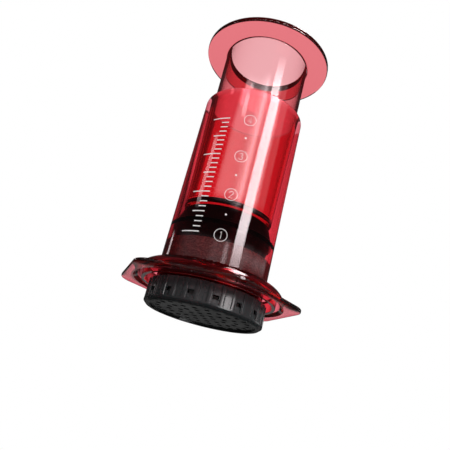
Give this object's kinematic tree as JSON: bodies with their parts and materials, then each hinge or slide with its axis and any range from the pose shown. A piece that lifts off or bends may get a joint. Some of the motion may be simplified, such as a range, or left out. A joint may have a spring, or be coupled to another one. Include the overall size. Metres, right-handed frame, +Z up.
{
  "type": "piston coffee press",
  "caption": "Hand-pushed coffee press: clear red chamber with a hexagonal flange, hollow plunger with a rubber seal, and a twist-off perforated filter cap.",
  "frame": {"origin": "middle of the filter cap's lowest ring, on the surface that the press stands on", "axes": "+Z up the common axis of chamber, plunger and cap; two flats of the hexagonal flange face -Y and +Y"},
  "size_m": [0.107, 0.0964, 0.1799],
  "materials": {
    "chamber_plastic": "clear red, polished",
    "plunger_plastic": "clear red, polished",
    "seal_rubber": "satin black",
    "cap_plastic": "fine satin, moulded",
    "filter_paper": "unglazed white paper",
    "coffee": "wet, finely ground"
  },
  "bodies": {
    "chamber": {"chamber": "chamber_plastic", "coffee_puck": "coffee"},
    "plunger": {"plunger": "plunger_plastic", "seal": "seal_rubber"},
    "filter_cap": {"filter_cap": "cap_plastic", "paper_filter": "filter_paper"}
  },
  "joints": [
    {"name": "plunger_slide", "type": "slide", "parent": "chamber", "child": "plunger", "axis": [0, 0, 1], "range_m": [0, 0.085]},
    {"name": "cap_twist", "type": "hinge", "parent": "chamber", "child": "filter_cap", "pos_m": [0, 0, 0], "axis": [0, 0, -1], "range_deg": [0, 11.25]}
  ]
}
